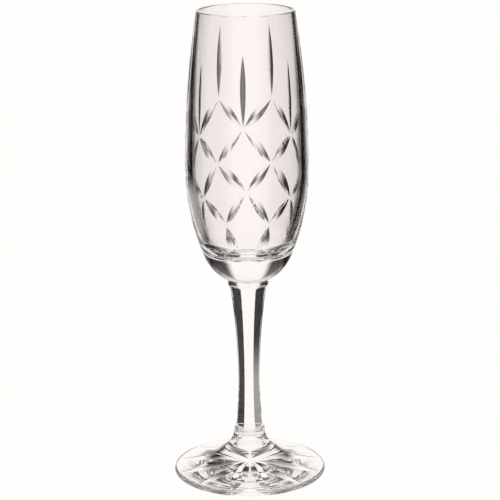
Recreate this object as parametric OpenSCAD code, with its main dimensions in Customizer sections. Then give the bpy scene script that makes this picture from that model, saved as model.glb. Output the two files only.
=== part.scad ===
// Cut crystal champagne flute: a blown bowl, a drawn octagonal stem and a star-cut foot.
// Millimetres, +Z up, the axis of the glass on Z, the table at z = 0, the plain panel of the bowl toward -Y.

/* [Bowl] */

// height of the whole glass from table to lip
glass_height = 215; // [185:1:258]
// outer radius at the lip
lip_radius = 21.8; // [18:0.1:26.2]
// wall thickness at the lip
lip_wall = 1.5; // [1.2:0.05:1.8]
// outer radius at the widest ring of the bowl
belly_radius = 27.8; // [25:0.1:33.4]
// height of the widest ring above the table
belly_height = 143.5; // [134:0.5:165]
// wall thickness at the widest ring
belly_wall = 3.3; // [2.8:0.05:3.7]
// radius of the round bottom of the bowl
bottom_radius = 21.45; // [18.5:0.05:24.5]
// height of the centre of the round bottom
bottom_centre = 111.75; // [104:0.05:117]
// radius of the arc of the cavity from the widest ring down to its corner
cavity_side = 84.375; // [80:0.125:95]
// height where the corner of the cavity starts
cavity_turn = 113.8; // [112:0.1:118]
// radius of the round corner at the bottom of the cavity
cavity_corner = 13.75; // [11:0.25:15]
// radius of the arc across the floor of the cavity
cavity_bottom = 36; // [30:0.5:44]

/* [Bowl cutting] */

// number of lattice columns around a full turn, two per diamond
lattice_columns = 12; // [10:2:14]
// columns cut to each side of the back of the bowl, the rest stay plain
half_columns = 3; // [2:1:3]
// height of the top row of crossings
lattice_top = 171; // [160:0.5:175]
// height between two rows of crossings
row_pitch = 15; // [12.5:0.1:16]
// polished gap left at a crossing, from the crossing to each cut tip
tip_gap = 0.8; // [0.5:0.05:1.2]
// half of the angle of the mitre edge of the wheels
mitre = 57.5; // [50:0.5:62]
// radius of the wheel for the leaf cuts
leaf_wheel = 90; // [80:5:300]
// length of the upright cuts above the lattice
upright_length = 33; // [27:0.5:36]
// radius of the wheel for the upright cuts
upright_wheel = 215; // [180:5:260]
// turn of the whole pattern away from the plain panel's middle, in degrees
pattern_turn = 1.9; // [-5:0.1:5]
// how far the rows sway from side to side, as in hand cutting, in degrees
row_sway = 2.1; // [0:0.1:3]
// height of the lower tip of the cuts that run down from the lattice
tail_end = 94; // [93.5:0.1:98]
// radius of the wheel for those cuts
tail_wheel = 70; // [60:1:120]

/* [Stem] */

// radius where the stem meets the bowl
collar_radius = 9.4; // [8.9:0.1:11]
// height of the narrowest ring of the stem
waist_height = 45; // [38:0.5:54]
// distance from the axis to a flat at the waist
waist_apothem = 4.9; // [4.1:0.1:5.9]
// distance from the axis to a flat at the lower end
heel_apothem = 6.4; // [5.9:0.1:7.7]
// distance from the axis to a flat at the upper end
crown_apothem = 8.7; // [7.7:0.1:8.7]
// number of flats
flats = 8; // [6:1:10]
// height the flats run out below the bowl
flat_runout = 2.4; // [1.8:0.1:4]
// slope of the run-out of the flats, from the horizontal
runout_slope = 55; // [45:1:65]

/* [Foot] */

// outer radius of the foot
foot_radius = 35; // [29:0.5:42]
// thickness at the rounded edge of the foot
edge_thickness = 2.5; // [2.1:0.1:3]
// height of the joint between foot and stem
neck_height = 20.6; // [17.5:0.1:24.8]
// radius of the foot at that joint
neck_radius = 7; // [6.95:0.05:8.4]
// radius of the hollow flare under the joint
flare_radius = 11; // [9.2:0.1:13.2]
// downward slope of the foot just inside its edge
edge_slope = 4; // [2:0.5:7]
// number of radial cuts in the underside
star_cuts = 12; // [10:2:14]
// radius where a star cut starts near the centre
star_start = 2.2; // [1.8:0.1:3]
// plain ring left outside the star cuts
star_margin = 1.6; // [1.2:0.1:3]
// greatest depth of a star cut
star_depth = 1.5; // [1.2:0.05:1.8]
// half of the angle of the edge of the wheel for the star
star_mitre = 64; // [55:0.5:67]

/* [Hidden] */

$fn = 96;
big = 600;
glass = [0.86, 0.9, 0.93];

// outer wall: lip arc, shoulder arc and round bottom, each tangent to the next
lip_arc = rise_arc(belly_radius, belly_height, lip_radius, glass_height);
side_arc = fall_arc(belly_radius, belly_height, bottom_radius, bottom_centre);
side_joint = ball_joint(belly_radius, belly_height, bottom_radius, bottom_centre);
base_height = bottom_centre - sqrt(pow(bottom_radius, 2) - pow(collar_radius, 2));

// rounded lip: a bead tangent to the outer arc, as thick as the wall
bead = lip_wall / 2;
lip_angle = asin((glass_height - bead - belly_height) / (lip_arc - bead));
bead_r = belly_radius - lip_arc + (lip_arc - bead) * cos(lip_angle);

// inner wall: the same three arcs, ending on the inside of the bead
inner_belly = belly_radius - belly_wall;
inner_lip = bead_r - bead * cos(lip_angle);
inner_lip_height = glass_height - bead - bead * sin(lip_angle);
inner_lip_arc = rise_arc(inner_belly, belly_height, inner_lip, inner_lip_height);

// bottom of the cavity: side arc, corner and floor, each tangent to the next
turn_sin = (belly_height - cavity_turn) / cavity_side;
turn_cos = sqrt(1 - pow(turn_sin, 2));
corner_r = inner_belly - cavity_side + (cavity_side - cavity_corner) * turn_cos;
corner_z = cavity_turn + cavity_corner * turn_sin;
floor_z = corner_z + sqrt(pow(cavity_bottom - cavity_corner, 2) - pow(corner_r, 2));
floor_joint = corner_z - cavity_corner * (floor_z - corner_z) / (cavity_bottom - cavity_corner);

// stem arcs, both tangent at the waist
upper_arc = rise_arc(crown_apothem, base_height, waist_apothem, waist_height);
lower_arc = rise_arc(heel_apothem, neck_height, waist_apothem, waist_height);
flat_end = base_height - flat_runout;

// foot top: flare arc then a wide arc that ends tangent on the edge bead
edge = edge_thickness / 2;
flare_r = neck_radius + flare_radius;
rim_r = foot_radius - edge + edge * sin(edge_slope);
rim_z = edge + edge * cos(edge_slope);
to_rim = [rim_r - flare_r, rim_z - neck_height];
reach = to_rim[0] * sin(edge_slope) + to_rim[1] * cos(edge_slope);
top_arc = (pow(flare_radius, 2) - to_rim * to_rim) / (2 * (reach + flare_radius));
top_r = rim_r + top_arc * sin(edge_slope);
top_z = rim_z + top_arc * cos(edge_slope);
turn = atan2(neck_height - top_z, flare_r - top_r);
turn_r = flare_r + flare_radius * cos(turn);
turn_z = neck_height + flare_radius * sin(turn);

// star cuts: chord along the flat underside
star_length = foot_radius - star_margin - star_start;
star_wheel = (pow(star_length / 2, 2) + pow(star_depth, 2)) / (2 * star_depth);

// radius of an arc upright at (r0, z0) that passes through (r1, z1)
function rise_arc(r0, z0, r1, z1) = (pow(z1 - z0, 2) + pow(r0 - r1, 2)) / (2 * (r0 - r1));
// radius of an arc upright at (r0, z0) and tangent to a ball on the axis
function fall_arc(r0, z0, ball, zb) =
    (pow(r0, 2) + pow(z0 - zb, 2) - pow(ball, 2)) / (2 * (r0 - ball));
// height where that arc touches the ball
function ball_joint(r0, z0, ball, zb) =
    zb - ball * (z0 - zb) / (fall_arc(r0, z0, ball, zb) - ball);

// outer radius of the bowl, its normal's elevation and its curvature down the wall, at a height
function wall_r(z) =
    z >= belly_height ? belly_radius - lip_arc + sqrt(pow(lip_arc, 2) - pow(z - belly_height, 2))
    : z >= side_joint ? belly_radius - side_arc + sqrt(pow(side_arc, 2) - pow(z - belly_height, 2))
    : sqrt(pow(bottom_radius, 2) - pow(z - bottom_centre, 2));
function wall_tilt(z) =
    z >= belly_height ? asin((z - belly_height) / lip_arc)
    : z >= side_joint ? asin((z - belly_height) / side_arc)
    : asin((z - bottom_centre) / bottom_radius);
function wall_bend(z) = z >= belly_height ? 1 / lip_arc : z >= side_joint ? 1 / side_arc : 1 / bottom_radius;

// half plane below a height, and the band between two heights
module below(z) translate([-big, z - 2 * big]) square([2 * big, 2 * big]);
module band(z0, z1) polygon([[0, z0], [big, z0], [big, z1], [0, z1]]);

// part of a round plate between two heights
module round_band(r, z, radius, z0, z1, steps) intersection() {
    translate([r, z]) circle(radius, $fn = steps);
    band(z0, z1);
}

module outer_section() {
    round_band(belly_radius - lip_arc, belly_height, lip_arc, belly_height, glass_height, 720);
    round_band(belly_radius - side_arc, belly_height, side_arc, side_joint, belly_height, 720);
    round_band(0, bottom_centre, bottom_radius, base_height, side_joint, 180);
}

module cavity_section() {
    round_band(inner_belly - inner_lip_arc, belly_height, inner_lip_arc, belly_height, glass_height + 2, 720);
    round_band(inner_belly - cavity_side, belly_height, cavity_side, cavity_turn, belly_height, 720);
    round_band(corner_r, corner_z, cavity_corner, floor_joint, cavity_turn, 180);
    translate([0, floor_joint]) square([corner_r, cavity_turn - floor_joint]);
    round_band(0, floor_z, cavity_bottom, floor_z - cavity_bottom - 1, floor_joint, 360);
}

// half plane on the bowl side of the line across the wall at the bead
module under_bead() translate([bead_r, glass_height - bead]) rotate(lip_angle) below(0);

module bowl_blank() rotate([0, 0, -90]) rotate_extrude($fn = 180) {
    difference() {
        intersection() {
            outer_section();
            under_bead();
        }
        cavity_section();
    }
    difference() {
        translate([bead_r, glass_height - bead]) circle(bead, $fn = 48);
        under_bead();
    }
}

// part of the rim of a grinding wheel: mitre edge down to a depth, an arc to each side of -X, axis on Z
module rim(radius, slope, half_length, depth) {
    side = asin((half_length + tip_gap / 2) / radius);
    bevel = depth + 0.6;
    rotate([0, 0, 180 - side]) rotate_extrude(angle = 2 * side, $fn = 360)
        polygon([[radius - bevel, -bevel * tan(slope)], [radius, 0], [radius - bevel, bevel * tan(slope)]]);
}

// wheel sunk into the wall at a height and bearing; slant 0 cuts up and down the wall
module wall_cut(bearing, z, slant, half_length, radius) {
    bend = pow(cos(slant), 2) * wall_bend(z) + pow(sin(slant), 2) * cos(wall_tilt(z)) / wall_r(z);
    depth = pow(half_length, 2) / 2 * (bend + 1 / radius);
    rotate([0, 0, bearing]) translate([wall_r(z), 0, z]) rotate([0, -wall_tilt(z), 0])
        translate([radius - depth, 0, 0]) rotate([slant, 0, 0]) rotate([90, 0, 0])
            rim(radius, mitre, half_length, depth);
}

// bearing of a crossing, counted from the back of the bowl
function bearing(column, row) =
    90 + column * 360 / lattice_columns + pattern_turn + row_sway * cos(72 * (row - 1.4));

// leaf between the crossing of a column and the next one down to one side
module leaf(row, column, side) {
    z = lattice_top - (row + 0.5) * row_pitch;
    from = bearing(column, row);
    to = bearing(column + side, row + 1);
    across = wall_r(z) * (to - from) * PI / 180;
    along = row_pitch / cos(wall_tilt(z));
    wall_cut((from + to) / 2, z, atan2(across, along), norm([across, along]) / 2 - tip_gap, leaf_wheel);
}

// cut that runs down from the lowest crossing, its wheel set by the heights of the two tips
module tail(bearing) {
    top = lattice_top - 4 * row_pitch - tip_gap;
    drop = [wall_r(top) - wall_r(tail_end), top - tail_end];
    half = norm(drop) / 2;
    rotate([0, 0, bearing]) translate([(wall_r(top) + wall_r(tail_end)) / 2, 0, (top + tail_end) / 2])
        rotate([0, atan2(drop[0], drop[1]), 0]) translate([sqrt(pow(tail_wheel, 2) - pow(half, 2)), 0, 0])
            rotate([90, 0, 0])
                rim(tail_wheel, mitre, half, pow(half, 2) / 2 * (1 / tail_wheel + 1 / bottom_radius));
}

module bowl_cuts() {
    for (row = [0:3]) for (column = [-half_columns:half_columns]) for (side = [-1, 1])
        if ((row + column + half_columns) % 2 == 0 && abs(column + side) <= half_columns)
            leaf(row, column, side);
    for (column = [-half_columns:half_columns]) {
        row = (column + half_columns) % 2;
        wall_cut(bearing(column, row), lattice_top - row * row_pitch + tip_gap + upright_length / 2, 0,
            upright_length / 2, upright_wheel);
    }
    for (column = [-half_columns:2:half_columns]) tail(bearing(column, 4));
}

module bowl() color(glass, 0.5) difference() {
    bowl_blank();
    bowl_cuts();
}

// section of the cutter that leaves one hollow flat: two arcs tangent at the waist, under the run-out
module flat_section() {
    intersection() {
        translate([waist_apothem + upper_arc, waist_height]) circle(upper_arc, $fn = 720);
        polygon([[0, waist_height], [20, waist_height],
            [20, flat_end + (20 - crown_apothem) * tan(runout_slope)],
            [0, flat_end - crown_apothem * tan(runout_slope)]]);
    }
    intersection() {
        translate([waist_apothem + lower_arc, waist_height]) circle(lower_arc, $fn = 720);
        translate([0, neck_height - 2]) square([20, waist_height - neck_height + 2]);
    }
}

// stem blank with the first flats ground on it
module ground(count) {
    if (count == 0)
        rotate([0, 0, 90 / flats]) translate([0, 0, neck_height])
            cylinder(h = base_height - neck_height, r1 = neck_radius, r2 = collar_radius, $fn = 180);
    else
        difference() {
            ground(count - 1);
            rotate([0, 0, -90 + (count - 1) * 360 / flats]) rotate([90, 0, 0])
                linear_extrude(height = 40, center = true) flat_section();
        }
}

module stem() color(glass, 0.5) ground(flats);

// half section of the foot: flare, wide arc and rounded edge
module foot_section() {
    difference() {
        polygon([[0, 0], [turn_r, 0], [turn_r, turn_z], [neck_radius, neck_height], [0, neck_height]]);
        translate([flare_r, neck_height]) circle(flare_radius, $fn = 180);
    }
    difference() {
        polygon([[turn_r, 0], [foot_radius - edge, 0], [rim_r, rim_z], [turn_r, turn_z]]);
        translate([top_r, top_z]) circle(top_arc, $fn = 360);
    }
    intersection() {
        translate([foot_radius - edge, edge]) circle(edge, $fn = 48);
        polygon([[foot_radius - edge, 0], [foot_radius + edge, -edge],
            [foot_radius + edge, 2 * edge_thickness], [rim_r, rim_z]]);
    }
}

module foot() color(glass, 0.5) difference() {
    rotate_extrude($fn = 180) foot_section();
    for (i = [0:star_cuts - 1]) rotate([0, 0, (i + 0.5) * 360 / star_cuts])
        translate([star_start + star_length / 2, 0, star_depth - star_wheel]) rotate([0, 90, 0])
            rotate([90, 0, 0]) rim(star_wheel, star_mitre, star_length / 2, star_depth);
}

bowl();
stem();
foot();
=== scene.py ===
import math
from functools import partial

import bmesh
import bpy
import numpy as np
from mathutils import Matrix


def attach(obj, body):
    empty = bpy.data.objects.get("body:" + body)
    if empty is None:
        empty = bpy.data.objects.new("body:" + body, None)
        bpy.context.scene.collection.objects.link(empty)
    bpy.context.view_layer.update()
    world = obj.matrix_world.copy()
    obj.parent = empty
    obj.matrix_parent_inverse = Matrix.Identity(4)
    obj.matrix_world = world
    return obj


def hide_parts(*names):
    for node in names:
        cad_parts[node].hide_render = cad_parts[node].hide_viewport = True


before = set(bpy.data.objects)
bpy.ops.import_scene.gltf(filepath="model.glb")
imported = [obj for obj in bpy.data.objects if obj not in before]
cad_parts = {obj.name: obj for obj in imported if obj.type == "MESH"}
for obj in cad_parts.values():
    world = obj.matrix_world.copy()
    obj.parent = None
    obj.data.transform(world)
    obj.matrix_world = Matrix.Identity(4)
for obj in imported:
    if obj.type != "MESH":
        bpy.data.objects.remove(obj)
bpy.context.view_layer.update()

MM = 0.001

# ---------------------------------------------------------------- sizes, millimetres
HEIGHT = 215.0          # table to lip
LIP_R, LIP_WALL = 21.8, 1.5
BELLY_R, BELLY_Z, BELLY_WALL = 27.8, 143.5, 3.3
BOTTOM_R, BOTTOM_Z = 21.45, 111.75       # round bottom of the bowl: radius and centre
CAVITY_SIDE, CAVITY_TURN = 84.375, 113.8    # side arc of the cavity and the height where its corner starts
CAVITY_CORNER, CAVITY_FLOOR_ARC = 13.75, 36.0    # corner and floor arcs of the cavity
COLLAR_R = 9.4
BASE_Z = BOTTOM_Z - math.sqrt(BOTTOM_R ** 2 - COLLAR_R ** 2)

COLUMNS, HALF_COLUMNS = 12, 3
LATTICE_TOP, ROW_PITCH, TIP_GAP = 171.0, 15.0, 0.8
MITRE = math.radians(57.5)
LEAF_WHEEL = 90.0
UPRIGHT_LENGTH, UPRIGHT_WHEEL = 33.0, 215.0
TAIL_END, TAIL_WHEEL = 94.0, 70.0    # height of the lower tip of a tail cut and its wheel
PATTERN_TURN, ROW_SWAY = 1.9, 2.1    # degrees

WAIST_Z, WAIST_A, HEEL_A, CROWN_A = 45.0, 4.9, 6.4, 8.7
FLATS, FLAT_RUNOUT, RUNOUT_SLOPE = 8, 2.4, math.radians(55)

FOOT_R, EDGE_T = 35.0, 2.5
NECK_Z, NECK_R, FLARE_R = 20.6, 7.0, 11.0
EDGE_SLOPE = math.radians(4)
STAR_CUTS, STAR_START, STAR_MARGIN, STAR_DEPTH = 12, 2.2, 1.6, 1.5
STAR_MITRE = math.radians(64)


# ---------------------------------------------------------------- arcs of the sections
def rise_arc(r0, z0, r1, z1):
    """Radius of an arc upright at (r0, z0) that passes through (r1, z1)."""
    return ((z1 - z0) ** 2 + (r0 - r1) ** 2) / (2 * (r0 - r1))


def fall_arc(r0, z0, ball, zb):
    """Radius of an arc upright at (r0, z0) and tangent to a ball on the axis."""
    return (r0 ** 2 + (z0 - zb) ** 2 - ball ** 2) / (2 * (r0 - ball))


def ball_joint(r0, z0, ball, zb):
    """Height where that arc touches the ball."""
    return zb - ball * (z0 - zb) / (fall_arc(r0, z0, ball, zb) - ball)


LIP_ARC = rise_arc(BELLY_R, BELLY_Z, LIP_R, HEIGHT)
SIDE_ARC = fall_arc(BELLY_R, BELLY_Z, BOTTOM_R, BOTTOM_Z)
SIDE_JOINT = ball_joint(BELLY_R, BELLY_Z, BOTTOM_R, BOTTOM_Z)
BEAD = LIP_WALL / 2
BEAD_Z = HEIGHT - BEAD
LIP_ANGLE = math.asin((BEAD_Z - BELLY_Z) / (LIP_ARC - BEAD))
BEAD_C = BELLY_R - LIP_ARC + (LIP_ARC - BEAD) * math.cos(LIP_ANGLE)
IN_BELLY = BELLY_R - BELLY_WALL
IN_LIP = (BEAD_C - BEAD * math.cos(LIP_ANGLE), BEAD_Z - BEAD * math.sin(LIP_ANGLE))
IN_LIP_ARC = rise_arc(IN_BELLY, BELLY_Z, *IN_LIP)
TURN_SIN = (BELLY_Z - CAVITY_TURN) / CAVITY_SIDE
TURN_COS = math.sqrt(1 - TURN_SIN ** 2)
CORNER = (IN_BELLY - CAVITY_SIDE + (CAVITY_SIDE - CAVITY_CORNER) * TURN_COS,
          CAVITY_TURN + CAVITY_CORNER * TURN_SIN)
FLOOR_Z = CORNER[1] + math.sqrt((CAVITY_FLOOR_ARC - CAVITY_CORNER) ** 2 - CORNER[0] ** 2)
FLOOR_TURN = math.atan2(CORNER[1] - FLOOR_Z, CORNER[0])


def wall_r(z):
    if z >= BELLY_Z:
        return BELLY_R - LIP_ARC + math.sqrt(LIP_ARC ** 2 - (z - BELLY_Z) ** 2)
    if z >= SIDE_JOINT:
        return BELLY_R - SIDE_ARC + math.sqrt(SIDE_ARC ** 2 - (z - BELLY_Z) ** 2)
    return math.sqrt(BOTTOM_R ** 2 - (z - BOTTOM_Z) ** 2)


def wall_tilt(z):
    if z >= BELLY_Z:
        return math.asin((z - BELLY_Z) / LIP_ARC)
    if z >= SIDE_JOINT:
        return math.asin((z - BELLY_Z) / SIDE_ARC)
    return math.asin((z - BOTTOM_Z) / BOTTOM_R)


def wall_bend(z):
    return 1 / (LIP_ARC if z >= BELLY_Z else SIDE_ARC if z >= SIDE_JOINT else BOTTOM_R)


# ---------------------------------------------------------------- sections and turned blanks
def arc(rc, zc, radius, a0, a1, step):
    """Points on an arc from angle a0 to a1, about `step` millimetres apart."""
    n = max(2, int(math.ceil(abs(a1 - a0) * radius / step)))
    return [(rc + radius * math.cos(a), zc + radius * math.sin(a)) for a in np.linspace(a0, a1, n + 1)]


def join(*runs):
    """Chain runs of points, dropping the doubled ends."""
    out = []
    for run in runs:
        for p in run:
            if not out or math.hypot(p[0] - out[-1][0], p[1] - out[-1][1]) > 1e-6:
                out.append(p)
    return out


def turned(name, section, segments):
    """Closed mesh turned from an open section whose two ends lie on the axis."""
    ring = [2 * math.pi * i / segments for i in range(segments)]
    verts, rows = [], []
    for r, z in section:
        if r < 1e-6:
            rows.append([len(verts)])
            verts.append((0.0, 0.0, z * MM))
        else:
            rows.append(list(range(len(verts), len(verts) + segments)))
            verts += [(r * MM * math.cos(a), r * MM * math.sin(a), z * MM) for a in ring]
    faces = []
    for low, high in zip(rows, rows[1:]):
        for i in range(segments):
            j = (i + 1) % segments
            if len(low) == 1:
                faces.append((low[0], high[j], high[i]))
            elif len(high) == 1:
                faces.append((low[i], low[j], high[0]))
            else:
                faces.append((low[i], low[j], high[j], high[i]))
    return mesh_object(name, verts, faces)


def mesh_object(name, verts, faces):
    mesh = bpy.data.meshes.new(name)
    mesh.from_pydata([tuple(v) for v in verts], [], faces)
    mesh.validate()
    mesh.update()
    obj = bpy.data.objects.new(name, mesh)
    bpy.context.collection.objects.link(obj)
    return obj


# ---------------------------------------------------------------- geometry nodes: grinding
def new_tree(name, inputs):
    tree = bpy.data.node_groups.new(name, "GeometryNodeTree")
    tree.interface.new_socket("Geometry", in_out="INPUT", socket_type="NodeSocketGeometry")
    for label, kind, value in inputs:
        s = tree.interface.new_socket(label, in_out="INPUT", socket_type=kind)
        if value is not None:
            s.default_value = value
    tree.interface.new_socket("Geometry", in_out="OUTPUT", socket_type="NodeSocketGeometry")
    return tree, tree.nodes.new("NodeGroupInput"), tree.nodes.new("NodeGroupOutput")


def math_node(tree, operation, *values):
    n = tree.nodes.new("ShaderNodeMath")
    n.operation = operation
    for i, v in enumerate(values):
        if isinstance(v, (int, float)):
            n.inputs[i].default_value = v
        else:
            tree.links.new(v, n.inputs[i])
    return n.outputs[0]


def finish_tree(tree, blank, cutters, crystal, gout, exact):
    """Takes the cutters out of the blank and ends the tree."""
    new, link = tree.nodes.new, tree.links.new
    real = new("GeometryNodeRealizeInstances")
    link(cutters, real.inputs["Geometry"])
    cut = new("GeometryNodeMeshBoolean")
    cut.operation = "DIFFERENCE"
    cut.solver = "EXACT" if exact else "MANIFOLD"
    if exact:
        cut.inputs["Self Intersection"].default_value = True
    link(blank, cut.inputs["Mesh 1"])
    link(real.outputs[0], cut.inputs["Mesh 2"])
    whole = new("GeometryNodeRealizeInstances")
    link(cut.outputs["Mesh"], whole.inputs["Geometry"])
    paint = new("GeometryNodeSetMaterial")
    link(whole.outputs[0], paint.inputs["Geometry"])
    link(crystal, paint.inputs["Material"])
    link(paint.outputs[0], gout.inputs[0])


def wheel_tree(name, exact):
    """Grinds mitre cuts: part of a wheel's rim at every place, taken out of the blank."""
    tree, gin, gout = new_tree(name, [
        ("Places", "NodeSocketObject", None), ("Wheel Radius", "NodeSocketFloat", 0.15),
        ("Half Angle", "NodeSocketFloat", 1.0), ("Reach", "NodeSocketFloat", 0.01),
        ("Edge Depth", "NodeSocketFloat", 0.002), ("Steps", "NodeSocketInt", 48),
        ("Crystal", "NodeSocketMaterial", None)])
    new, link = tree.nodes.new, tree.links.new
    side = math_node(tree, "ARCSINE",
                     math_node(tree, "DIVIDE", gin.outputs["Reach"], gin.outputs["Wheel Radius"]))
    rim = new("GeometryNodeCurveArc")
    rim.mode = "RADIUS"
    link(gin.outputs["Steps"], rim.inputs["Resolution"])
    link(gin.outputs["Wheel Radius"], rim.inputs["Radius"])
    link(math_node(tree, "SUBTRACT", math.pi, side), rim.inputs["Start Angle"])
    link(math_node(tree, "MULTIPLY", side, 2.0), rim.inputs["Sweep Angle"])
    # mitre section: its point on the rim, its back toward the hub
    half = math_node(tree, "MULTIPLY", gin.outputs["Edge Depth"],
                     math_node(tree, "TANGENT", gin.outputs["Half Angle"]))
    quad = new("GeometryNodeCurvePrimitiveQuadrilateral")
    quad.mode = "POINTS"
    for i, sign in enumerate((-1.0, None, 1.0, 0.0)):
        c = new("ShaderNodeCombineXYZ")
        if sign is not None:
            link(math_node(tree, "MULTIPLY", half, sign), c.inputs["Y"])
            link(math_node(tree, "MULTIPLY", gin.outputs["Edge Depth"], -1.0), c.inputs["X"])
        link(c.outputs[0], quad.inputs["Point %d" % (i + 1)])
    sweep = new("GeometryNodeCurveToMesh")
    link(rim.outputs["Curve"], sweep.inputs["Curve"])
    link(quad.outputs["Curve"], sweep.inputs["Profile Curve"])
    sweep.inputs["Fill Caps"].default_value = True
    places = new("GeometryNodeObjectInfo")
    link(gin.outputs["Places"], places.inputs["Object"])
    turn = new("GeometryNodeInputNamedAttribute")
    turn.data_type = "FLOAT_VECTOR"
    turn.inputs["Name"].default_value = "turn"
    euler = new("FunctionNodeEulerToRotation")
    link(turn.outputs["Attribute"], euler.inputs[0])
    put = new("GeometryNodeInstanceOnPoints")
    link(places.outputs["Geometry"], put.inputs["Points"])
    link(sweep.outputs["Mesh"], put.inputs["Instance"])
    link(euler.outputs[0], put.inputs["Rotation"])
    finish_tree(tree, gin.outputs["Geometry"], put.outputs["Instances"], gin.outputs["Crystal"], gout, exact)
    return tree


def flat_tree():
    """Grinds the flats of the stem: one cutter turned to an even number of bearings."""
    tree, gin, gout = new_tree("flat_grinding", [
        ("Cutter", "NodeSocketObject", None), ("Flats", "NodeSocketInt", 8),
        ("Crystal", "NodeSocketMaterial", None)])
    new, link = tree.nodes.new, tree.links.new
    spots = new("GeometryNodeMeshLine")
    link(gin.outputs["Flats"], spots.inputs["Count"])
    spots.inputs["Offset"].default_value = (0, 0, 0)
    step = math_node(tree, "DIVIDE", 2 * math.pi, gin.outputs["Flats"])
    index = new("GeometryNodeInputIndex")
    turn = new("ShaderNodeCombineXYZ")
    link(math_node(tree, "MULTIPLY", index.outputs[0], step), turn.inputs["Z"])
    euler = new("FunctionNodeEulerToRotation")
    link(turn.outputs[0], euler.inputs[0])
    cutter = new("GeometryNodeObjectInfo")
    link(gin.outputs["Cutter"], cutter.inputs["Object"])
    put = new("GeometryNodeInstanceOnPoints")
    link(spots.outputs["Mesh"], put.inputs["Points"])
    link(cutter.outputs["Geometry"], put.inputs["Instance"])
    link(euler.outputs[0], put.inputs["Rotation"])
    finish_tree(tree, gin.outputs["Geometry"], put.outputs["Instances"], gin.outputs["Crystal"], gout, True)
    return tree


def grind(obj, tree, **values):
    """Adds the tree to a blank with its inputs set by identifier, then makes the result a plain mesh."""
    mod = obj.modifiers.new(tree.name, "NODES")
    mod.node_group = tree
    sockets = {s.name: s.identifier for s in tree.interface.items_tree if s.in_out == "INPUT"}
    for label, value in values.items():
        mod[sockets[label.replace("_", " ")]] = value
    bpy.context.view_layer.update()
    depsgraph = bpy.context.evaluated_depsgraph_get()
    mesh = bpy.data.meshes.new_from_object(obj.evaluated_get(depsgraph), depsgraph=depsgraph)
    obj.modifiers.remove(mod)
    old = obj.data
    obj.data = mesh
    bpy.data.meshes.remove(old)


# ---------------------------------------------------------------- where the wheels go
def wheel_pose(radius, depth, bearing, z, slant):
    """Matrix of a wheel sunk into the wall: contact on its -X side, axis on its Z."""
    turn = (Matrix.Rotation(bearing, 4, "Z") @ Matrix.Translation((wall_r(z) * MM, 0, z * MM))
            @ Matrix.Rotation(-wall_tilt(z), 4, "Y") @ Matrix.Translation(((radius - depth) * MM, 0, 0))
            @ Matrix.Rotation(slant, 4, "X") @ Matrix.Rotation(math.pi / 2, 4, "X"))
    return turn


def wall_cut(bearing, z, slant, half_length, radius):
    bend = math.cos(slant) ** 2 * wall_bend(z) + math.sin(slant) ** 2 * math.cos(wall_tilt(z)) / wall_r(z)
    depth = half_length ** 2 / 2 * (bend + 1 / radius)
    return {"pose": wheel_pose(radius, depth, bearing, z, slant), "radius": radius, "half": half_length,
            "depth": depth, "slope": MITRE}


def bearing(column, row):
    """Bearing of a crossing, counted from the back; the rows sway a little, as in hand cutting."""
    sway = PATTERN_TURN + ROW_SWAY * math.cos(math.radians(72 * (row - 1.4)))
    return math.pi / 2 + column * 2 * math.pi / COLUMNS + math.radians(sway)


def leaf(row, column, side):
    z = LATTICE_TOP - (row + 0.5) * ROW_PITCH
    b0, b1 = bearing(column, row), bearing(column + side, row + 1)
    across = wall_r(z) * (b1 - b0)
    along = ROW_PITCH / math.cos(wall_tilt(z))
    return wall_cut((b0 + b1) / 2, z, math.atan2(across, along), math.hypot(across, along) / 2 - TIP_GAP,
                    LEAF_WHEEL)


def lattice(side):
    cuts = []
    for row in range(4):
        for column in range(-HALF_COLUMNS, HALF_COLUMNS + 1):
            if (row + column + HALF_COLUMNS) % 2 == 0 and abs(column + side) <= HALF_COLUMNS:
                cuts.append(leaf(row, column, side))
    return cuts


def uprights():
    cuts = []
    for column in range(-HALF_COLUMNS, HALF_COLUMNS + 1):
        row = (column + HALF_COLUMNS) % 2
        z = LATTICE_TOP - row * ROW_PITCH + TIP_GAP + UPRIGHT_LENGTH / 2
        cuts.append(wall_cut(bearing(column, row), z, 0.0, UPRIGHT_LENGTH / 2, UPRIGHT_WHEEL))
    return cuts


def tails():
    """Cuts run down from the lowest crossings, each set by the heights of its two tips."""
    top, low = LATTICE_TOP - 4 * ROW_PITCH - TIP_GAP, TAIL_END
    drop = (wall_r(top) - wall_r(low), top - low)
    half = math.hypot(*drop) / 2
    lean = math.atan2(drop[0], drop[1])
    cuts = []
    for column in range(-HALF_COLUMNS, HALF_COLUMNS + 1, 2):
        pose = (Matrix.Rotation(bearing(column, 4), 4, "Z")
                @ Matrix.Translation(((wall_r(top) + wall_r(low)) / 2 * MM, 0, (top + low) / 2 * MM))
                @ Matrix.Rotation(lean, 4, "Y")
                @ Matrix.Translation((math.sqrt(TAIL_WHEEL ** 2 - half ** 2) * MM, 0, 0))
                @ Matrix.Rotation(math.pi / 2, 4, "X"))
        cuts.append({"pose": pose, "radius": TAIL_WHEEL, "half": half, "slope": MITRE,
                     "depth": half ** 2 / 2 * (1 / TAIL_WHEEL + 1 / BOTTOM_R)})
    return cuts


def star():
    length = FOOT_R - STAR_MARGIN - STAR_START
    radius = ((length / 2) ** 2 + STAR_DEPTH ** 2) / (2 * STAR_DEPTH)
    cuts = []
    for i in range(STAR_CUTS):
        pose = (Matrix.Rotation((i + 0.5) * 2 * math.pi / STAR_CUTS, 4, "Z")
                @ Matrix.Translation(((STAR_START + length / 2) * MM, 0, (STAR_DEPTH - radius) * MM))
                @ Matrix.Rotation(math.pi / 2, 4, "Y") @ Matrix.Rotation(math.pi / 2, 4, "X"))
        cuts.append({"pose": pose, "radius": radius, "half": length / 2, "depth": STAR_DEPTH,
                     "slope": STAR_MITRE})
    return cuts


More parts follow.
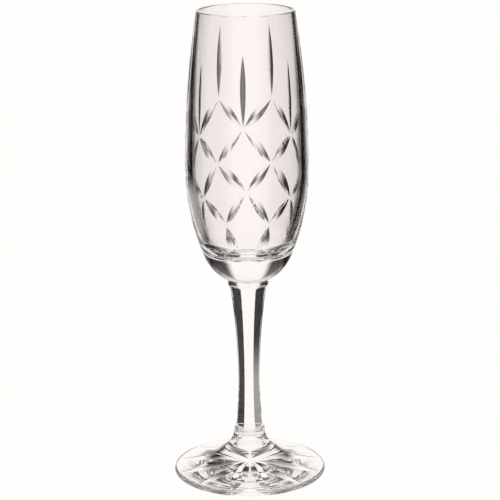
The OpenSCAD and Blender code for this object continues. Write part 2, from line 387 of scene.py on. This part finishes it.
def places_object(name, cuts):
    """One point per cut, at the wheel's centre, with the wheel's turn."""
    obj = mesh_object(name, [c["pose"].translation for c in cuts], [])
    turn = obj.data.attributes.new("turn", "FLOAT_VECTOR", "POINT")
    for i, c in enumerate(cuts):
        turn.data[i].vector = c["pose"].to_euler("XYZ")
    return obj


def grind_cuts(obj, tree, cuts, steps, crystal):
    places = places_object("places", cuts)
    grind(obj, tree, Places=places, Wheel_Radius=cuts[0]["radius"] * MM, Half_Angle=cuts[0]["slope"],
          Reach=(max(c["half"] for c in cuts) + TIP_GAP / 2) * MM,
          Edge_Depth=(max(c["depth"] for c in cuts) + 0.6) * MM, Steps=steps, Crystal=crystal)
    bpy.data.objects.remove(places)


# ---------------------------------------------------------------- true faces: what each facet lies on
NOT_HERE = 10.0    # millimetres added where a face doesn't reach
FIT, FACING_COST = 0.02, 8.0    # how near a facet must lie, and what a wrong way round costs


class Ring:
    """Turned arc round the axis. Side is +1 where glass lies inside the arc's circle."""
    def __init__(self, rc, zc, radius, side):
        self.rc, self.zc, self.radius, self.side = rc, zc, radius, side

    def measure(self, p, centre):
        r = np.maximum(np.hypot(p[:, 0], p[:, 1]), 1e-9)
        dr, dz = r - self.rc, p[:, 2] - self.zc
        far = np.maximum(np.hypot(dr, dz), 1e-9)
        n = np.stack((dr / far * p[:, 0] / r, dr / far * p[:, 1] / r, dz / far), axis=1)
        return np.abs(far - self.radius), n * self.side


class Level:
    """Flat face square to the axis."""
    def __init__(self, z, side):
        self.z, self.side = z, side

    def measure(self, p, centre):
        n = np.zeros_like(p)
        n[:, 2] = self.side
        return np.abs(p[:, 2] - self.z), n


class Taper:
    """Straight side of a turned blank between two radii."""
    def __init__(self, r0, z0, r1, z1):
        self.r0, self.z0 = r0, z0
        length = math.hypot(r1 - r0, z1 - z0)
        self.nr, self.nz = (z1 - z0) / length, -(r1 - r0) / length

    def measure(self, p, centre):
        r = np.maximum(np.hypot(p[:, 0], p[:, 1]), 1e-9)
        far = (r - self.r0) * self.nr + (p[:, 2] - self.z0) * self.nz
        n = np.stack((self.nr * p[:, 0] / r, self.nr * p[:, 1] / r, np.full(len(p), self.nz)), axis=1)
        return np.abs(far), n


class Mitre:
    """Two faces left by the edge of a grinding wheel."""
    def __init__(self, cut):
        pose = np.array(cut["pose"])
        self.turn, self.place = pose[:3, :3], pose[:3, 3] / MM
        self.radius, self.slope, self.half = cut["radius"], cut["slope"], cut["half"]

    def measure(self, p, centre):
        q = (p - self.place) @ self.turn
        rho = np.maximum(np.hypot(q[:, 0], q[:, 1]), 1e-9)
        side = np.where((centre - self.place) @ self.turn[:, 2] >= 0, 1.0, -1.0)
        s, c = math.sin(self.slope), math.cos(self.slope)
        far = np.abs((rho - self.radius) * s + q[:, 2] * side * c)
        far = far + np.where(np.abs(q[:, 1]) > self.half + 0.5, NOT_HERE, 0.0)
        n = np.stack((q[:, 0] / rho * s, q[:, 1] / rho * s, side * c), axis=1)
        return far, -(n @ self.turn.T)


class Flat:
    """Hollow flat of the stem: a shallow arc up the stem, straight across. Side is +1 above the waist,
    -1 below it."""
    def __init__(self, bearing, radius, side):
        self.side = side
        self.out = (math.cos(bearing), math.sin(bearing))
        self.rc, self.radius = WAIST_A + radius, radius

    def measure(self, p, centre):
        x = p[:, 0] * self.out[0] + p[:, 1] * self.out[1]
        dx, dz = x - self.rc, p[:, 2] - WAIST_Z
        far = np.maximum(np.hypot(dx, dz), 1e-9)
        n = np.stack((-dx / far * self.out[0], -dx / far * self.out[1], -dz / far), axis=1)
        far = np.abs(far - self.radius) + np.where(x < 0, NOT_HERE, 0.0)
        return far + np.where((centre[:, 2] - WAIST_Z) * self.side < 0, NOT_HERE, 0.0), n


class Runout:
    """Sloping shoulder where a flat ends under the bowl."""
    def __init__(self, bearing, x0, z0, slope):
        self.out, self.x0, self.z0 = (math.cos(bearing), math.sin(bearing)), x0, z0
        self.nx, self.nz = math.sin(slope), -math.cos(slope)

    def measure(self, p, centre):
        x = p[:, 0] * self.out[0] + p[:, 1] * self.out[1]
        far = (x - self.x0) * self.nx + (p[:, 2] - self.z0) * self.nz
        n = np.empty_like(p)
        n[:] = (self.nx * self.out[0], self.nx * self.out[1], self.nz)
        return np.abs(far) + np.where(x < 0, NOT_HERE, 0.0), n


def true_normals(obj, surfaces, joint_levels):
    """Gives every corner the exact normal of the surface its facet lies on, marks ground facets and
    puts the fused joints on the second material slot."""
    mesh = obj.data
    bm = bmesh.new()
    bm.from_mesh(mesh)
    bmesh.ops.remove_doubles(bm, verts=bm.verts, dist=1e-7)
    bmesh.ops.triangulate(bm, faces=[f for f in bm.faces if len(f.verts) > 4])
    bm.to_mesh(mesh)
    bm.free()
    count = len(mesh.polygons)
    centre, facing = np.empty(count * 3), np.empty(count * 3)
    mesh.polygons.foreach_get("center", centre)
    mesh.polygons.foreach_get("normal", facing)
    centre, facing = centre.reshape(-1, 3) / MM, facing.reshape(-1, 3)
    loops = len(mesh.loops)
    start, total = np.empty(count, int), np.empty(count, int)
    mesh.polygons.foreach_get("loop_start", start)
    mesh.polygons.foreach_get("loop_total", total)
    owner = np.repeat(np.arange(count), total)
    vert = np.empty(loops, int)
    mesh.loops.foreach_get("vertex_index", vert)
    co = np.empty(len(mesh.vertices) * 3)
    mesh.vertices.foreach_get("co", co)
    corner = co.reshape(-1, 3)[vert] / MM
    best = np.full(count, 1e9)
    which = np.zeros(count, int)
    for i, surface in enumerate(surfaces):
        far = np.maximum.reduceat(surface.measure(corner, centre[owner])[0], start)
        n = surface.measure(centre, centre)[1]
        cost = far / FIT + FACING_COST * (1.0 - np.einsum("ij,ij->i", n, facing))
        better = cost < best
        best[better], which[better] = cost[better], i
    normals = np.zeros((loops, 3))
    for i, surface in enumerate(surfaces):
        mine = which[owner] == i
        if mine.any():
            normals[mine] = surface.measure(corner[mine], centre[owner][mine])[1]
    # a corner whose exact normal fights its facet keeps the facet's own
    off = np.einsum("ij,ij->i", normals, facing[owner]) < 0.5
    normals[off] = facing[owner][off]
    mesh.polygons.foreach_set("use_smooth", np.ones(count, bool))
    ground = mesh.attributes.new("ground", "FLOAT", "FACE")
    kinds = np.array([isinstance(s, (Mitre, Flat, Runout)) for s in surfaces], float)
    ground.data.foreach_set("value", kinds[which])
    slots = np.zeros(count, np.int32)
    for i, surface in enumerate(surfaces):
        if isinstance(surface, Level) and surface.z in joint_levels:
            slots[(which == i) & joint_levels[surface.z](centre)] = 1
    mesh.polygons.foreach_set("material_index", slots)
    mesh.normals_split_custom_set(normals.tolist())
    mesh.update()


# ---------------------------------------------------------------- crystal and its fused joints
def node(tree, kind, **values):
    n = tree.nodes.new(kind)
    for name, value in values.items():
        n.inputs[name.replace("_", " ")].default_value = value
    return n


def crystal_material(name, wave_scale):
    """Polished lead crystal: clear, faintly rosy, with a slow waviness and fine wheel marks in the cuts."""
    mat = bpy.data.materials.new(name)
    mat.use_nodes = True
    tree = mat.node_tree
    tree.nodes.clear()
    new, link = tree.nodes.new, tree.links.new
    out = new("ShaderNodeOutputMaterial")
    glass = node(tree, "ShaderNodeBsdfPrincipled", Base_Color=(0.992, 0.957, 0.952, 1), IOR=1.56,
                 Transmission_Weight=1.0, Roughness=0.0)
    coords = new("ShaderNodeTexCoord")
    ground = new("ShaderNodeAttribute")
    ground.attribute_name = "ground"
    # slow waviness of hot-worked glass
    wave = node(tree, "ShaderNodeTexNoise", Scale=wave_scale, Detail=1.0, Roughness=0.4)
    link(coords.outputs["Object"], wave.inputs["Vector"])
    # fine marks left across a cut after polishing
    marks = node(tree, "ShaderNodeTexNoise", Scale=2600.0, Detail=2.0, Roughness=0.5)
    stretch = new("ShaderNodeMapping")
    stretch.inputs["Scale"].default_value = (1.0, 1.0, 0.25)
    link(coords.outputs["Object"], stretch.inputs["Vector"])
    link(stretch.outputs["Vector"], marks.inputs["Vector"])
    polish = new("ShaderNodeMapRange")
    polish.inputs["To Min"].default_value = 0.0
    polish.inputs["To Max"].default_value = 0.035
    link(math_node(tree, "MULTIPLY", ground.outputs["Fac"], marks.outputs["Fac"]), polish.inputs["Value"])
    link(polish.outputs["Result"], glass.inputs["Roughness"])
    bump = node(tree, "ShaderNodeBump", Strength=0.35, Distance=0.00004)
    link(wave.outputs["Fac"], bump.inputs["Height"])
    link(bump.outputs["Normal"], glass.inputs["Normal"])
    link(glass.outputs["BSDF"], out.inputs["Surface"])
    return mat


def joint_material():
    """Where two gathers are fused there is no surface, so light goes straight on."""
    mat = bpy.data.materials.new("fused_joint")
    mat.use_nodes = True
    tree = mat.node_tree
    tree.nodes.clear()
    out = tree.nodes.new("ShaderNodeOutputMaterial")
    clear = tree.nodes.new("ShaderNodeBsdfTransparent")
    tree.links.new(clear.outputs["BSDF"], out.inputs["Surface"])
    return mat


bowl_crystal = crystal_material("bowl_crystal", 70.0)
stem_crystal = crystal_material("stem_crystal", 90.0)
foot_crystal = crystal_material("foot_crystal", 80.0)
fused = joint_material()

# ---------------------------------------------------------------- bowl
SEGMENTS, STEM_SEGMENTS, FOOT_SEGMENTS = 256, 192, 384    # facets round each blank


def up_to(z, zc, radius):
    return math.asin((z - zc) / radius)


bowl_section = join(
    [(0.0, BASE_Z), (3.0, BASE_Z), (6.0, BASE_Z), (COLLAR_R, BASE_Z)],
    arc(0.0, BOTTOM_Z, BOTTOM_R, up_to(BASE_Z, BOTTOM_Z, BOTTOM_R),
        up_to(SIDE_JOINT, BOTTOM_Z, BOTTOM_R), 0.8),
    arc(BELLY_R - SIDE_ARC, BELLY_Z, SIDE_ARC, up_to(SIDE_JOINT, BELLY_Z, SIDE_ARC), 0.0, 1.0),
    arc(BELLY_R - LIP_ARC, BELLY_Z, LIP_ARC, 0.0, LIP_ANGLE, 1.2),
    arc(BEAD_C, BEAD_Z, BEAD, LIP_ANGLE, LIP_ANGLE + math.pi, 0.13),
    arc(IN_BELLY - IN_LIP_ARC, BELLY_Z, IN_LIP_ARC, up_to(IN_LIP[1], BELLY_Z, IN_LIP_ARC), 0.0, 1.2),
    arc(IN_BELLY - CAVITY_SIDE, BELLY_Z, CAVITY_SIDE, 0.0, -math.asin(TURN_SIN), 0.9),
    arc(CORNER[0], CORNER[1], CAVITY_CORNER, -math.asin(TURN_SIN), FLOOR_TURN, 0.6),
    arc(0.0, FLOOR_Z, CAVITY_FLOOR_ARC, FLOOR_TURN, -math.pi / 2, 0.8))
bowl_section[-1] = (0.0, FLOOR_Z - CAVITY_FLOOR_ARC)

bowl = turned("crystal_bowl", bowl_section, SEGMENTS)
wheels = wheel_tree("mitre_grinding", False)
for cuts, steps in ((lattice(1), 40), (lattice(-1), 40), (uprights(), 56), (tails(), 40)):
    grind_cuts(bowl, wheels, cuts, steps, bowl_crystal)
bowl.data.materials.clear()
for m in (bowl_crystal, fused):
    bowl.data.materials.append(m)
true_normals(
    bowl,
    [Level(BASE_Z, -1), Ring(0.0, BOTTOM_Z, BOTTOM_R, 1), Ring(BELLY_R - SIDE_ARC, BELLY_Z, SIDE_ARC, 1),
     Ring(BELLY_R - LIP_ARC, BELLY_Z, LIP_ARC, 1), Ring(BEAD_C, BEAD_Z, BEAD, 1),
     Ring(IN_BELLY - IN_LIP_ARC, BELLY_Z, IN_LIP_ARC, -1),
     Ring(IN_BELLY - CAVITY_SIDE, BELLY_Z, CAVITY_SIDE, -1),
     Ring(CORNER[0], CORNER[1], CAVITY_CORNER, -1), Ring(0.0, FLOOR_Z, CAVITY_FLOOR_ARC, -1)]
    + [Mitre(c) for c in lattice(1) + lattice(-1) + uprights() + tails()],
    {BASE_Z: lambda p: p[:, 2] < BASE_Z + 0.01})

# ---------------------------------------------------------------- stem
UPPER_ARC = rise_arc(CROWN_A, BASE_Z, WAIST_A, WAIST_Z)
LOWER_ARC = rise_arc(HEEL_A, NECK_Z, WAIST_A, WAIST_Z)
FLAT_END = BASE_Z - FLAT_RUNOUT
OUTSIDE, BELOW, HALF_BLOCK = 14.0, 2.0, 12.0    # reach of the flat cutter past the stem


def flat_x(z):
    radius = UPPER_ARC if z > WAIST_Z else LOWER_ARC
    return WAIST_A + radius - math.sqrt(radius ** 2 - (z - WAIST_Z) ** 2)


def runout_z(x):
    return FLAT_END + (x - CROWN_A) * math.tan(RUNOUT_SLOPE)


def flat_cutter():
    """Block with the two arcs of a flat on its inner side and the run-out on top, facing -Y."""
    top = FLAT_END
    for _ in range(30):
        top = runout_z(flat_x(top))
    line = [(flat_x(z), z) for z in np.linspace(NECK_Z - BELOW, WAIST_Z, 34)]
    line += [(flat_x(z), z) for z in np.linspace(WAIST_Z, top, 58)[1:]]
    line += [(OUTSIDE, runout_z(OUTSIDE)), (OUTSIDE, NECK_Z - BELOW)]
    n = len(line)
    verts = [(y * MM, -x * MM, z * MM) for y in (-HALF_BLOCK, HALF_BLOCK) for x, z in line]
    faces = [tuple(range(n)), tuple(reversed(range(n, 2 * n)))]
    faces += [((i + 1) % n, i, i + n, (i + 1) % n + n) for i in range(n)]
    return mesh_object("flat_cutter", verts, faces)


def outward(obj):
    bm = bmesh.new()
    bm.from_mesh(obj.data)
    bmesh.ops.recalc_face_normals(bm, faces=bm.faces)
    bm.to_mesh(obj.data)
    bm.free()


rise = BASE_Z - NECK_Z
stem_section = join(
    [(0.0, NECK_Z), (3.5, NECK_Z), (NECK_R, NECK_Z)],
    [(NECK_R + (COLLAR_R - NECK_R) * t, NECK_Z + rise * t) for t in np.linspace(0, 1, 73)],
    [(6.0, BASE_Z), (3.0, BASE_Z), (0.0, BASE_Z)])
stem = turned("crystal_stem", stem_section, STEM_SEGMENTS)
cutter = flat_cutter()
outward(cutter)
grind(stem, flat_tree(), Cutter=cutter, Flats=FLATS, Crystal=stem_crystal)
bpy.data.objects.remove(cutter)
stem.data.materials.clear()
for m in (stem_crystal, fused):
    stem.data.materials.append(m)
bearings = [-math.pi / 2 + i * 2 * math.pi / FLATS for i in range(FLATS)]
true_normals(
    stem,
    [Level(NECK_Z, -1), Level(BASE_Z, 1), Taper(NECK_R, NECK_Z, COLLAR_R, BASE_Z)]
    + [Flat(b, UPPER_ARC, 1) for b in bearings] + [Flat(b, LOWER_ARC, -1) for b in bearings]
    + [Runout(b, CROWN_A, FLAT_END, RUNOUT_SLOPE) for b in bearings],
    {NECK_Z: lambda p: p[:, 2] < NECK_Z + 0.01, BASE_Z: lambda p: p[:, 2] > BASE_Z - 0.01})

# ---------------------------------------------------------------- foot
EDGE = EDGE_T / 2
FLARE_C = NECK_R + FLARE_R
RIM = (FOOT_R - EDGE + EDGE * math.sin(EDGE_SLOPE), EDGE + EDGE * math.cos(EDGE_SLOPE))
to_rim = (RIM[0] - FLARE_C, RIM[1] - NECK_Z)
reach = to_rim[0] * math.sin(EDGE_SLOPE) + to_rim[1] * math.cos(EDGE_SLOPE)
TOP_ARC = (FLARE_R ** 2 - to_rim[0] ** 2 - to_rim[1] ** 2) / (2 * (reach + FLARE_R))
TOP_C = (RIM[0] + TOP_ARC * math.sin(EDGE_SLOPE), RIM[1] + TOP_ARC * math.cos(EDGE_SLOPE))
TURN = math.atan2(NECK_Z - TOP_C[1], FLARE_C - TOP_C[0])
OCTAGON_SPOT = 6.6    # ring that is pushed out onto the octagon under the stem

foot_section = join(
    [(r, 0.0) for r in (0.0, 2.0, 6.0, 12.0, 18.0, 24.0, 29.0, FOOT_R - EDGE)],
    arc(FOOT_R - EDGE, EDGE, EDGE, -math.pi / 2, math.pi / 2 - EDGE_SLOPE, 0.16),
    arc(TOP_C[0], TOP_C[1], TOP_ARC, -math.pi / 2 - EDGE_SLOPE, TURN, 0.6),
    arc(FLARE_C, NECK_Z, FLARE_R, TURN, -math.pi, 0.5),
    [(OCTAGON_SPOT, NECK_Z), (0.0, NECK_Z)])
foot = turned("crystal_foot", foot_section, FOOT_SEGMENTS)
for v in foot.data.vertices:
    x, y, z = (c / MM for c in v.co)
    if abs(z - NECK_Z) < 1e-6 and abs(math.hypot(x, y) - OCTAGON_SPOT) < 1e-3:
        a = math.atan2(y, x)
        off = (a + math.pi / 2 + math.pi / FLATS) % (2 * math.pi / FLATS) - math.pi / FLATS
        grow = HEEL_A / math.cos(off) / OCTAGON_SPOT
        v.co.x *= grow
        v.co.y *= grow
grind_cuts(foot, wheel_tree("star_grinding", True), star(), 72, foot_crystal)
foot.data.materials.clear()
for m in (foot_crystal, fused):
    foot.data.materials.append(m)


def inside_octagon(p):
    a = np.arctan2(p[:, 1], p[:, 0])
    off = (a + math.pi / 2 + math.pi / FLATS) % (2 * math.pi / FLATS) - math.pi / FLATS
    return (p[:, 2] > NECK_Z - 0.01) & (np.hypot(p[:, 0], p[:, 1]) * np.cos(off) < HEEL_A)


true_normals(
    foot,
    [Level(0.0, -1), Level(NECK_Z, 1), Ring(FOOT_R - EDGE, EDGE, EDGE, 1),
     Ring(TOP_C[0], TOP_C[1], TOP_ARC, -1), Ring(FLARE_C, NECK_Z, FLARE_R, -1)]
    + [Mitre(c) for c in star()],
    {NECK_Z: inside_octagon})

for piece, part in ((bowl, "bowl"), (stem, "stem"), (foot, "foot")):
    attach(piece, "root")
    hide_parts(part)

# ---------------------------------------------------------------- floor, light, camera
scene = bpy.context.scene
WHITE = (1.0, 0.991, 0.974)


def studio_white(name, strength):
    mat = bpy.data.materials.new(name)
    mat.use_nodes = True
    tree = mat.node_tree
    tree.nodes.clear()
    out = tree.nodes.new("ShaderNodeOutputMaterial")
    glow = node(tree, "ShaderNodeEmission", Color=WHITE + (1,), Strength=strength)
    tree.links.new(glow.outputs["Emission"], out.inputs["Surface"])
    return mat


FLOOR_REACH, FLOOR_LEVEL = 4.0, -0.0003    # metres
floor = mesh_object("floor", [(x * FLOOR_REACH, y * FLOOR_REACH, FLOOR_LEVEL)
                              for x, y in ((-1, -1), (1, -1), (1, 1), (-1, 1))], [(0, 1, 2, 3)])
floor.data.materials.append(studio_white("pale_floor", 1.0))
floor.visible_transmission = floor.visible_glossy = floor.visible_diffuse = False

# soft panels round the glass: azimuth from behind it (right is +), pitch, half widths, softness, brightness
PANELS = [
    (0, -75, 180, 32, 0.35, 0.9),
    (-1, -2, 21, 48, 0.25, 1.0),
    (-115, -6, 25, 40, 0.5, 0.5),
    (180, 0, 42, 55, 0.5, 1.0),
    (-38, -24, 14, 8, 0.5, 0.35),
    (0, 78, 180, 30, 0.5, 0.9),
]
DARK = (0.008, 0.006, 0.006)


def softbox(tree, azimuth, pitch, panel):
    """Brightness of one soft panel seen in a direction."""
    do = partial(math_node, tree)
    az, up, wide, high, soft, strength = panel
    across = do("ABSOLUTE", do("WRAP", do("SUBTRACT", azimuth, math.radians(az)), math.pi, -math.pi))
    along = do("ABSOLUTE", do("SUBTRACT", pitch, math.radians(up)))
    masks = []
    for value, half in ((across, wide), (along, high)):
        edge = tree.nodes.new("ShaderNodeMapRange")
        edge.interpolation_type = "SMOOTHSTEP"
        edge.inputs["From Min"].default_value = math.radians(half) * (1 + soft)
        edge.inputs["From Max"].default_value = math.radians(half) * (1 - soft)
        tree.links.new(value, edge.inputs["Value"])
        masks.append(edge.outputs["Result"])
    return do("MULTIPLY", do("MULTIPLY", masks[0], masks[1]), strength)


world = bpy.data.worlds.new("studio")
scene.world = world
world.use_nodes = True
wt = world.node_tree
wt.nodes.clear()
do = partial(math_node, wt)
w_out = wt.nodes.new("ShaderNodeOutputWorld")
w_bg = wt.nodes.new("ShaderNodeBackground")
w_path = wt.nodes.new("ShaderNodeLightPath")
w_dir = wt.nodes.new("ShaderNodeTexCoord")
w_sep = wt.nodes.new("ShaderNodeSeparateXYZ")
wt.links.new(w_dir.outputs["Generated"], w_sep.inputs[0])
azimuth = do("ARCTAN2", w_sep.outputs["X"], w_sep.outputs["Y"])
pitch = do("ARCSINE", w_sep.outputs["Z"])
total = None
for panel in PANELS:
    one = softbox(wt, azimuth, pitch, panel)
    total = one if total is None else do("ADD", total, one)
total = do("MINIMUM", total, 1.0)
w_tone = wt.nodes.new("ShaderNodeMixRGB")
wt.links.new(total, w_tone.inputs["Fac"])
w_tone.inputs["Color1"].default_value = DARK + (1,)
w_tone.inputs["Color2"].default_value = WHITE + (1,)
w_mix = wt.nodes.new("ShaderNodeMixRGB")
wt.links.new(w_path.outputs["Is Camera Ray"], w_mix.inputs["Fac"])
wt.links.new(w_tone.outputs["Color"], w_mix.inputs["Color1"])
w_mix.inputs["Color2"].default_value = WHITE + (1,)
wt.links.new(w_mix.outputs["Color"], w_bg.inputs["Color"])
wt.links.new(w_bg.outputs["Background"], w_out.inputs["Surface"])

CAMERA_ASIDE = 1.0
CAMERA_FAR, CAMERA_HIGH, CAMERA_DOWN, CAMERA_ROLL = 812.6, 324.5, math.radians(15.06), math.radians(-0.54)
cam_data = bpy.data.cameras.new("camera")
cam_data.sensor_width = 36.0
cam_data.lens = 1856.0 / 500.0 * 36.0
cam_data.clip_start, cam_data.clip_end = 0.01, 50.0
camera = bpy.data.objects.new("camera", cam_data)
scene.collection.objects.link(camera)
look = Matrix.Rotation(math.pi / 2 - CAMERA_DOWN, 4, "X") @ Matrix.Rotation(CAMERA_ROLL, 4, "Z")
camera.matrix_world = Matrix.Translation((CAMERA_ASIDE * MM, -CAMERA_FAR * MM, CAMERA_HIGH * MM)) @ look
scene.camera = camera

scene.view_settings.view_transform = "Standard"
cycles = scene.cycles
cycles.max_bounces, cycles.transmission_bounces, cycles.glossy_bounces = 32, 32, 24
cycles.transparent_max_bounces = 32
